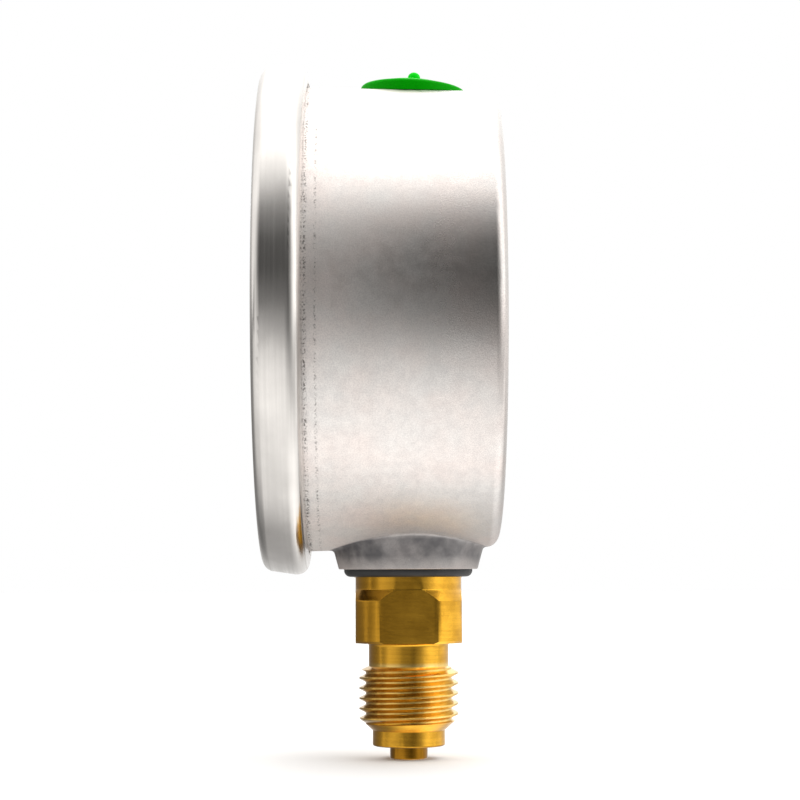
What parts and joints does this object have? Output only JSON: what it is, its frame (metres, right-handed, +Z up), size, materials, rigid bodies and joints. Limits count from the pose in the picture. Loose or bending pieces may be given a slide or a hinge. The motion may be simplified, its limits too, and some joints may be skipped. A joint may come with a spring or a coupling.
{
  "type": "pressure gauge",
  "caption": "Round Bourdon-tube pressure gauge with crimped bezel, satin steel case, rubber filling plug and threaded brass stem below.",
  "frame": {"origin": "middle of the flat sealing face at the lower end of the threaded stem", "axes": "+Z up the stem, -Y the way the dial faces, +X to the right of someone reading the dial"},
  "size_m": [0.068, 0.0312, 0.0925],
  "materials": {
    "stainless_satin": "satin",
    "clear_glass": "gloss",
    "black_rubber": "matte",
    "green_rubber": "satin",
    "brass": "satin",
    "tube_bronze": "satin",
    "nickel_silver": "satin",
    "small_steel": "satin",
    "dial_white": "matte",
    "pointer_black": "matte"
  },
  "bodies": {
    "gauge_body": {"case": "stainless_satin", "bezel_ring": "stainless_satin", "window": "clear_glass", "window_gasket": "black_rubber", "socket": "brass", "socket_seal": "black_rubber", "restrictor_screw": "brass", "bourdon_tube": "tube_bronze", "hairspring": "tube_bronze", "hairspring_stud": "brass", "movement_front_plate": "brass", "movement_back_plate": "brass", "movement_pillars": "brass", "movement_screws": "small_steel", "mounting_screws": "small_steel", "dial": "dial_white", "dial_posts": "brass", "dial_screws": "small_steel", "pointer_stop_pin": "small_steel"},
    "pointer_group": {"pinion_arbor": "small_steel", "hairspring_collet": "brass", "pointer": "pointer_black", "pointer_hub": "pointer_black"},
    "sector_group": {"sector_gear": "nickel_silver", "sector_arbor": "small_steel", "link_screw": "small_steel"},
    "link_group": {"link": "nickel_silver"},
    "tube_tip": {"tube_end_piece": "brass", "link_pin": "small_steel"},
    "plug": {"filler_plug": "green_rubber"}
  },
  "joints": [
    {"name": "pointer_turn", "type": "hinge", "parent": "gauge_body", "child": "pointer_group", "pos_m": [0, 0, 0.0567], "axis": [0, 1, 0], "range_deg": [0, 270], "stiffness_Nm_per_rad": 0.0002, "springref_deg": -11.46, "deforming": ["hairspring"]},
    {"name": "sector_turn", "type": "hinge", "parent": "gauge_body", "child": "sector_group", "pos_m": [0.00654, 0, 0.04489], "axis": [0, 1, 0], "range_deg": [-33.75, 0]},
    {"name": "link_turn", "type": "hinge", "parent": "sector_group", "child": "link_group", "pos_m": [0.00505, 0, 0.04118], "axis": [0, 1, 0], "range_deg": [0, 22]},
    {"name": "tip_flex", "type": "hinge", "parent": "gauge_body", "child": "tube_tip", "pos_m": [-0.00163, 0, 0.0617], "axis": [0, 1, 0], "range_deg": [-6.2, 0], "deforming": ["bourdon_tube"]},
    {"name": "plug_pull", "type": "slide", "parent": "gauge_body", "child": "plug", "axis": [0, 0, 1], "range_m": [0, 0.01]}
  ],
  "couplings": [
    {"joint": "sector_turn", "follows": "pointer_turn", "ratio": -0.125},
    {"joint": "link_turn", "follows": "pointer_turn", "ratio": 0.081148},
    {"joint": "tip_flex", "follows": "pointer_turn", "ratio": -0.022781}
  ]
}
